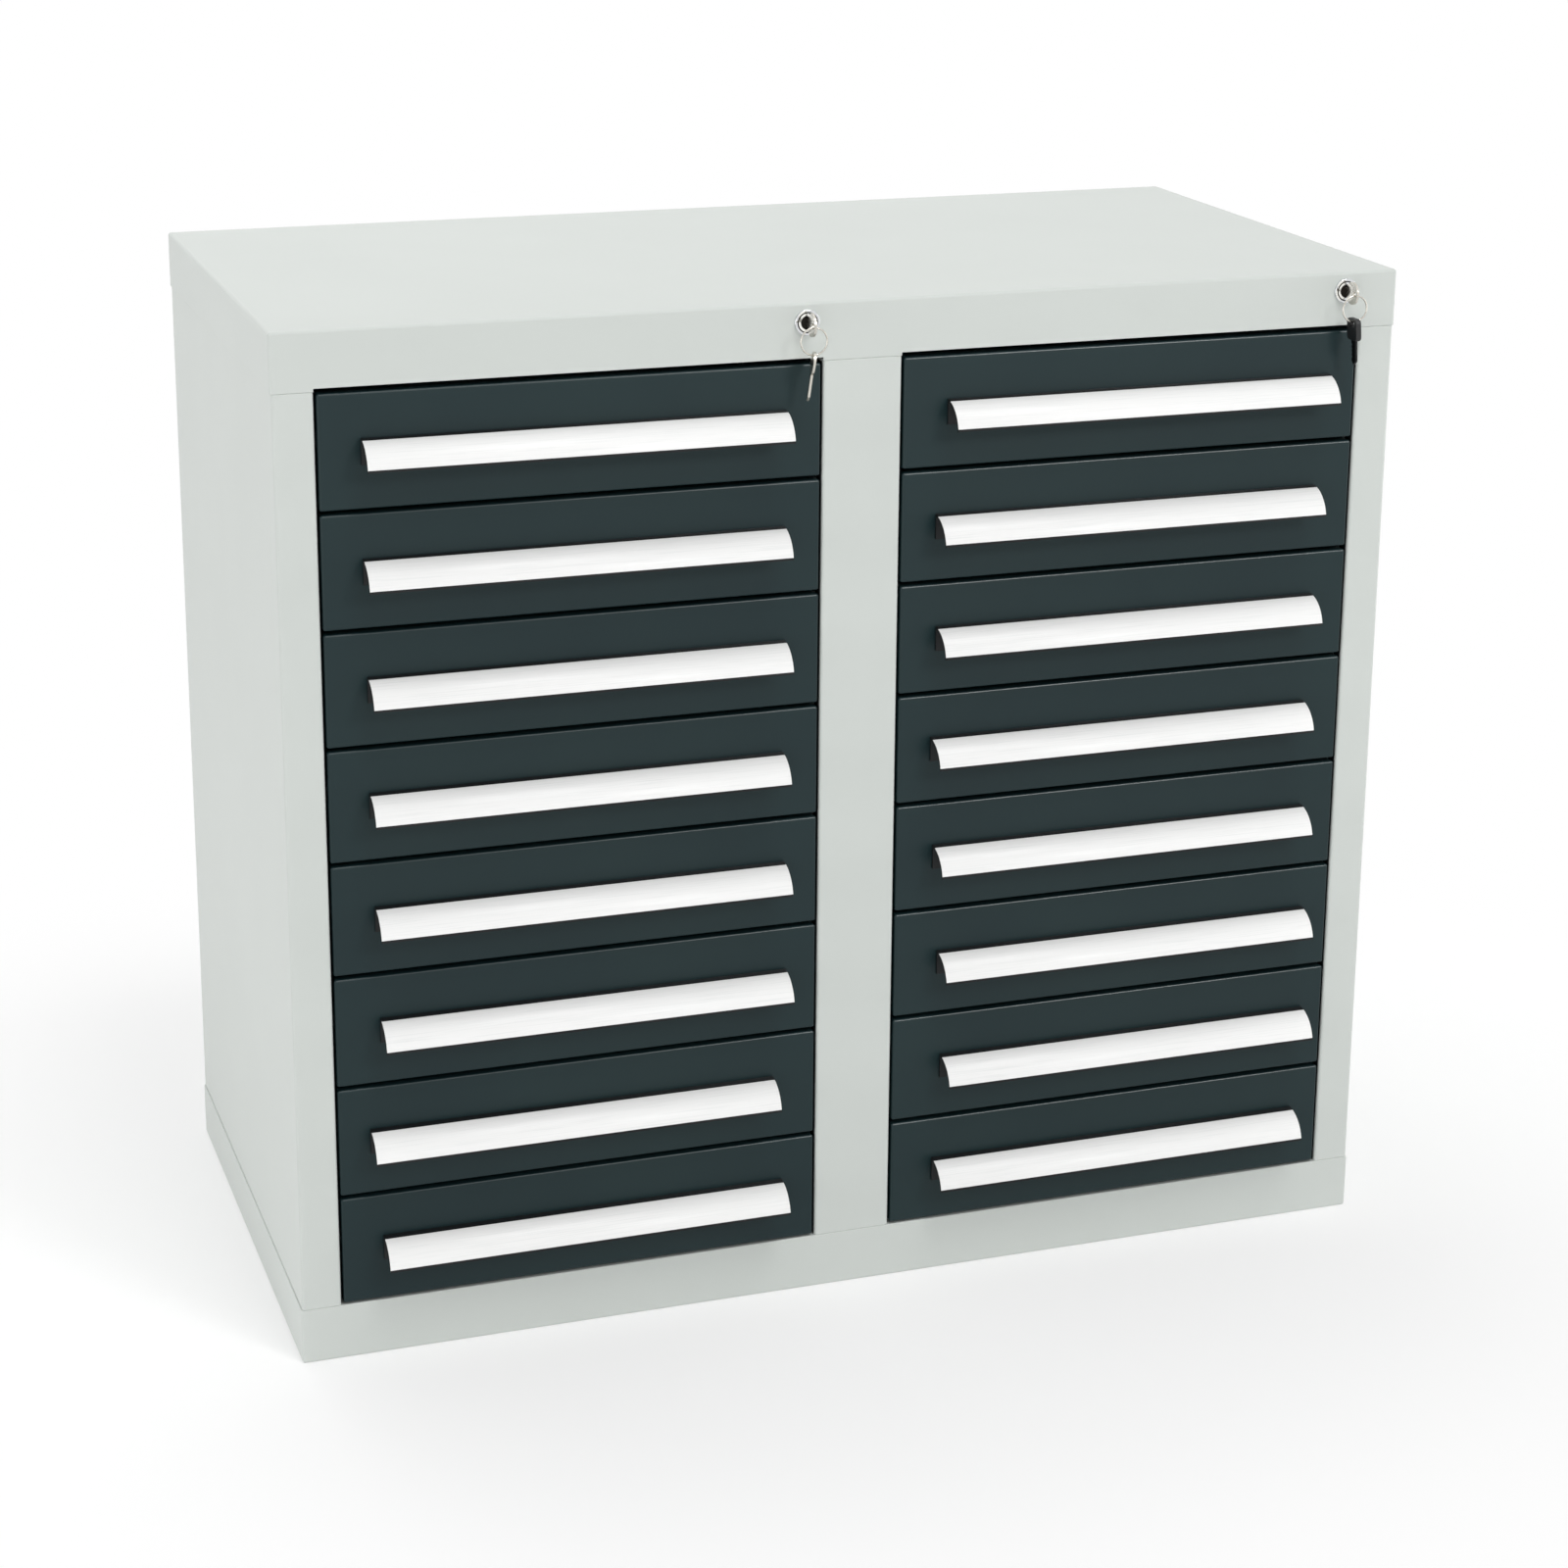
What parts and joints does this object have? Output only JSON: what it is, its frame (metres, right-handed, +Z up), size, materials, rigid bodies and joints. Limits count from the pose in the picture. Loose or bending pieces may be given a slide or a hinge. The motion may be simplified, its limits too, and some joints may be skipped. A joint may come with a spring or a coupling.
{
  "type": "drawer cabinet",
  "caption": "Free-standing sheet-steel drawer cabinet with two banks of equal drawers, curved grip profiles with blank label strips and a keyed lock over each bank.",
  "frame": {"origin": "centre of the base pan's underside, on the floor", "axes": "+X to the right seen from the front, +Y to the back, +Z up"},
  "size_m": [1, 0.5283, 0.9],
  "materials": {
    "body_paint": "light grey powder coat",
    "drawer_paint": "anthracite powder coat",
    "grip": "black profile with a white label strip",
    "rail_zinc": "zinc plated",
    "lock_chrome": "polished",
    "plug_steel": "dark satin",
    "key_steel": "nickel plated",
    "head_plastic": "moulded black"
  },
  "bodies": {
    "cabinet": {"top_cover": "body_paint", "base_pan": "body_paint", "left_side_panel": "body_paint", "right_side_panel": "body_paint", "centre_partition": "body_paint", "back_panel": "body_paint", "bar_guides": "rail_zinc", "left_bank_rails": "rail_zinc", "left_lock_body": "lock_chrome", "left_lock_nut": "rail_zinc", "right_bank_rails": "rail_zinc", "right_lock_body": "lock_chrome", "right_lock_nut": "rail_zinc"},
    "left_lock": {"left_lock_plug": "plug_steel", "left_lock_cam": "rail_zinc", "left_lock_key": "key_steel"},
    "left_bar": {"left_locking_bar": "rail_zinc"},
    "left_ring": {"left_key_ring": "key_steel"},
    "left_spare": {"left_spare_key": "key_steel"},
    "drawer_left_1_body": {"drawer_left_1": "drawer_paint", "grip_left_1": "grip"},
    "drawer_left_2_body": {"drawer_left_2": "drawer_paint", "grip_left_2": "grip"},
    "drawer_left_3_body": {"drawer_left_3": "drawer_paint", "grip_left_3": "grip"},
    "drawer_left_4_body": {"drawer_left_4": "drawer_paint", "grip_left_4": "grip"},
    "drawer_left_5_body": {"drawer_left_5": "drawer_paint", "grip_left_5": "grip"},
    "drawer_left_6_body": {"drawer_left_6": "drawer_paint", "grip_left_6": "grip"},
    "drawer_left_7_body": {"drawer_left_7": "drawer_paint", "grip_left_7": "grip"},
    "drawer_left_8_body": {"drawer_left_8": "drawer_paint", "grip_left_8": "grip"},
    "right_lock": {"right_lock_plug": "plug_steel", "right_lock_cam": "rail_zinc", "right_lock_key": "key_steel"},
    "right_bar": {"right_locking_bar": "rail_zinc"},
    "right_ring": {"right_key_ring": "key_steel"},
    "right_spare": {"right_spare_key": "key_steel", "right_spare_key_head": "head_plastic"},
    "drawer_right_1_body": {"drawer_right_1": "drawer_paint", "grip_right_1": "grip"},
    "drawer_right_2_body": {"drawer_right_2": "drawer_paint", "grip_right_2": "grip"},
    "drawer_right_3_body": {"drawer_right_3": "drawer_paint", "grip_right_3": "grip"},
    "drawer_right_4_body": {"drawer_right_4": "drawer_paint", "grip_right_4": "grip"},
    "drawer_right_5_body": {"drawer_right_5": "drawer_paint", "grip_right_5": "grip"},
    "drawer_right_6_body": {"drawer_right_6": "drawer_paint", "grip_right_6": "grip"},
    "drawer_right_7_body": {"drawer_right_7": "drawer_paint", "grip_right_7": "grip"},
    "drawer_right_8_body": {"drawer_right_8": "drawer_paint", "grip_right_8": "grip"}
  },
  "joints": [
    {"name": "left_lock_turn", "type": "hinge", "parent": "cabinet", "child": "left_lock", "pos_m": [-0.05, -0.25, 0.8835], "axis": [0, -1, 0], "range_deg": [0, 90]},
    {"name": "left_bar_lift", "type": "slide", "parent": "cabinet", "child": "left_bar", "axis": [0, 0, 1], "range_m": [0, 0.0099]},
    {"name": "left_ring_swing", "type": "hinge", "parent": "left_lock", "child": "left_ring", "pos_m": [-0.05, -0.2683, 0.8835], "axis": [-1, 0, 0], "range_deg": [-5, 75]},
    {"name": "left_spare_key_swing", "type": "hinge", "parent": "left_ring", "child": "left_spare", "pos_m": [-0.05, -0.2683, 0.8577], "axis": [-0.9686, 0.2079, 0.1361], "range_deg": [-8, 45]},
    {"name": "drawer_left_1_slide", "type": "slide", "parent": "cabinet", "child": "drawer_left_1_body", "axis": [0, -1, 0], "range_m": [0, 0.34]},
    {"name": "drawer_left_2_slide", "type": "slide", "parent": "cabinet", "child": "drawer_left_2_body", "axis": [0, -1, 0], "range_m": [0, 0.34]},
    {"name": "drawer_left_3_slide", "type": "slide", "parent": "cabinet", "child": "drawer_left_3_body", "axis": [0, -1, 0], "range_m": [0, 0.34]},
    {"name": "drawer_left_4_slide", "type": "slide", "parent": "cabinet", "child": "drawer_left_4_body", "axis": [0, -1, 0], "range_m": [0, 0.34]},
    {"name": "drawer_left_5_slide", "type": "slide", "parent": "cabinet", "child": "drawer_left_5_body", "axis": [0, -1, 0], "range_m": [0, 0.34]},
    {"name": "drawer_left_6_slide", "type": "slide", "parent": "cabinet", "child": "drawer_left_6_body", "axis": [0, -1, 0], "range_m": [0, 0.34]},
    {"name": "drawer_left_7_slide", "type": "slide", "parent": "cabinet", "child": "drawer_left_7_body", "axis": [0, -1, 0], "range_m": [0, 0.34]},
    {"name": "drawer_left_8_slide", "type": "slide", "parent": "cabinet", "child": "drawer_left_8_body", "axis": [0, -1, 0], "range_m": [0, 0.34]},
    {"name": "right_lock_turn", "type": "hinge", "parent": "cabinet", "child": "right_lock", "pos_m": [0.45, -0.25, 0.8835], "axis": [0, -1, 0], "range_deg": [0, 90]},
    {"name": "right_bar_lift", "type": "slide", "parent": "cabinet", "child": "right_bar", "axis": [0, 0, 1], "range_m": [0, 0.0099]},
    {"name": "right_ring_swing", "type": "hinge", "parent": "right_lock", "child": "right_ring", "pos_m": [0.45, -0.2683, 0.8835], "axis": [-1, 0, 0], "range_deg": [-5, 75]},
    {"name": "right_spare_key_swing", "type": "hinge", "parent": "right_ring", "child": "right_spare", "pos_m": [0.45, -0.2683, 0.8577], "axis": [-0.9976, 0, -0.0698], "range_deg": [-8, 45]},
    {"name": "drawer_right_1_slide", "type": "slide", "parent": "cabinet", "child": "drawer_right_1_body", "axis": [0, -1, 0], "range_m": [0, 0.34]},
    {"name": "drawer_right_2_slide", "type": "slide", "parent": "cabinet", "child": "drawer_right_2_body", "axis": [0, -1, 0], "range_m": [0, 0.34]},
    {"name": "drawer_right_3_slide", "type": "slide", "parent": "cabinet", "child": "drawer_right_3_body", "axis": [0, -1, 0], "range_m": [0, 0.34]},
    {"name": "drawer_right_4_slide", "type": "slide", "parent": "cabinet", "child": "drawer_right_4_body", "axis": [0, -1, 0], "range_m": [0, 0.34]},
    {"name": "drawer_right_5_slide", "type": "slide", "parent": "cabinet", "child": "drawer_right_5_body", "axis": [0, -1, 0], "range_m": [0, 0.34]},
    {"name": "drawer_right_6_slide", "type": "slide", "parent": "cabinet", "child": "drawer_right_6_body", "axis": [0, -1, 0], "range_m": [0, 0.34]},
    {"name": "drawer_right_7_slide", "type": "slide", "parent": "cabinet", "child": "drawer_right_7_body", "axis": [0, -1, 0], "range_m": [0, 0.34]},
    {"name": "drawer_right_8_slide", "type": "slide", "parent": "cabinet", "child": "drawer_right_8_body", "axis": [0, -1, 0], "range_m": [0, 0.34]}
  ],
  "couplings": [
    {"joint": "left_lock_turn", "follows": "left_bar_lift", "rad_per_m": 158.67},
    {"joint": "right_lock_turn", "follows": "right_bar_lift", "rad_per_m": 158.67}
  ]
}
